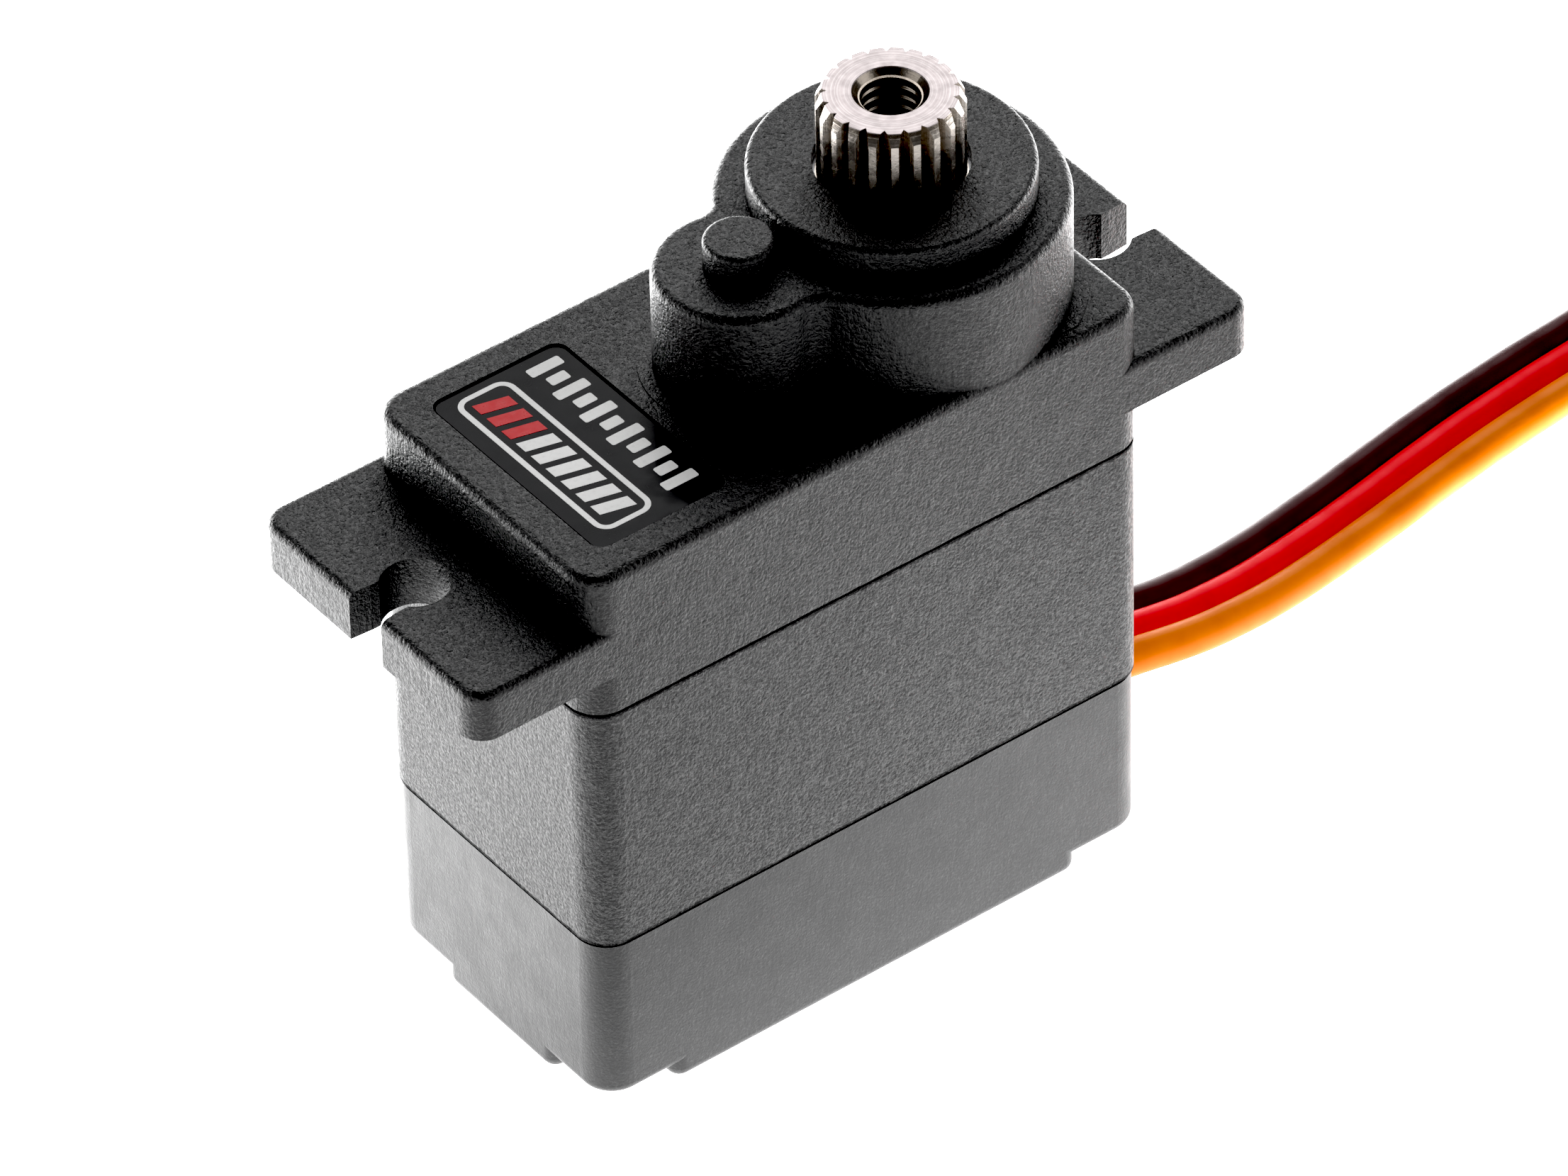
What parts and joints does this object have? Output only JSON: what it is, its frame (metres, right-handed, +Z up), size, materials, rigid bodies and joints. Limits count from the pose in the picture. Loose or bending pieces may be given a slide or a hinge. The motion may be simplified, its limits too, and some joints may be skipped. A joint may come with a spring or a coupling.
{
  "type": "servo motor",
  "caption": "Micro servo motor with metal gears: black three-part case with slotted ears, splined output shaft in a ball bearing, and a flat three-wire lead with a plug.",
  "frame": {"origin": "centre of the underside of the case, on the surface that the servo stands on", "axes": "+Z up along the output shaft, +X along the case towards the output shaft and the lead, +Y across the case"},
  "size_m": [0.0916, 0.0464, 0.0312],
  "materials": {
    "case_plastic": "moulded, fine spark-eroded grain",
    "screw_steel": "zinc plated",
    "label_film": "printed glossy film",
    "output_steel": "machined, nickel plated",
    "bearing_steel": "ground",
    "cage_brass": "pressed",
    "bush_bronze": "sintered, oiled",
    "gear_brass": "machined",
    "gear_steel": "machined",
    "motor_steel": "drawn, zinc plated",
    "magnet": "ground",
    "core_steel": "stamped sheets",
    "copper": "bare and enamelled",
    "pale_plastic": "moulded",
    "tinned_metal": "tinned",
    "pot_board": "laminate",
    "carbon": "printed carbon",
    "pot_shaft_plastic": "moulded",
    "contact_brass": "gold flashed",
    "wire_white": "insulated wire",
    "board_green": "solder mask",
    "chip_black": "moulded",
    "small_parts": "ceramic",
    "lead_sheath": "three bonded wires: dark brown, red and orange",
    "plug_black": "moulded"
  },
  "bodies": {
    "case": {"bottom_cover": "case_plastic", "middle_case": "case_plastic", "top_case": "case_plastic", "case_screws": "screw_steel", "label": "label_film", "bearing_outer_ring": "bearing_steel", "output_bush": "bush_bronze", "gear_pin": "bearing_steel", "motor_can": "motor_steel", "motor_magnets": "magnet", "motor_front_bush": "bush_bronze", "motor_end_cap": "pale_plastic", "motor_brushes": "copper", "motor_terminals": "tinned_metal", "pot_housing": "pale_plastic", "pot_base": "pot_board", "pot_track": "carbon", "pot_pins": "tinned_metal", "pot_leads": "wire_white", "circuit_board": "board_green", "control_chip": "chip_black", "driver_chips": "chip_black", "board_parts": "small_parts", "resonator": "small_parts", "solder_joints": "tinned_metal", "lead_ends": "lead_sheath", "lead_strands": "copper", "lead_ribbon": "lead_sheath", "lead_coil": "lead_sheath", "lead_tail": "lead_sheath", "plug_housing": "plug_black", "plug_contacts": "contact_brass"},
    "output": {"output_gear": "output_steel", "bearing_inner_ring": "bearing_steel", "pot_shaft": "pot_shaft_plastic", "pot_wiper": "contact_brass"},
    "bearing": {"bearing_balls": "bearing_steel", "bearing_cage": "cage_brass"},
    "third_gear": {"gear_three": "gear_steel"},
    "second_gear": {"gear_two": "gear_steel"},
    "first_gear": {"gear_one": "gear_brass"},
    "rotor": {"rotor_shaft": "bearing_steel", "rotor_core": "core_steel", "rotor_windings": "copper", "commutator": "copper", "motor_pinion": "gear_brass"}
  },
  "joints": [
    {"name": "output_turn", "type": "hinge", "parent": "case", "child": "output", "pos_m": [0.0055, 0, 0.0265], "axis": [0, 0, 1], "range_deg": [-90, 90]},
    {"name": "bearing_turn", "type": "hinge", "parent": "case", "child": "bearing", "pos_m": [0.0055, 0, 0.02635], "axis": [0, 0, 1], "range_deg": [-38.84, 38.84]},
    {"name": "third_gear_turn", "type": "hinge", "parent": "case", "child": "third_gear", "pos_m": [-0.0007, 0, 0.0212], "axis": [0, 0, 1], "range_deg": [-285.05, 285.05]},
    {"name": "second_gear_turn", "type": "hinge", "parent": "case", "child": "second_gear", "pos_m": [0.0055, 0, 0.0193], "axis": [0, 0, 1], "range_deg": [-902.55, 902.55]},
    {"name": "first_gear_turn", "type": "hinge", "parent": "case", "child": "first_gear", "pos_m": [-0.0007, 0, 0.018], "axis": [0, 0, 1], "range_deg": [-2857.97, 2857.97]},
    {"name": "rotor_turn", "type": "hinge", "parent": "case", "child": "rotor", "pos_m": [-0.0059, 0, 0.0105], "axis": [0, 0, 1], "range_deg": [-12003.3, 12003.3]}
  ],
  "couplings": [
    {"joint": "bearing_turn", "follows": "output_turn", "ratio": 0.431},
    {"joint": "third_gear_turn", "follows": "output_turn", "ratio": -3.1667},
    {"joint": "second_gear_turn", "follows": "output_turn", "ratio": 10.028},
    {"joint": "first_gear_turn", "follows": "output_turn", "ratio": -31.755},
    {"joint": "rotor_turn", "follows": "output_turn", "ratio": 133.37}
  ]
}
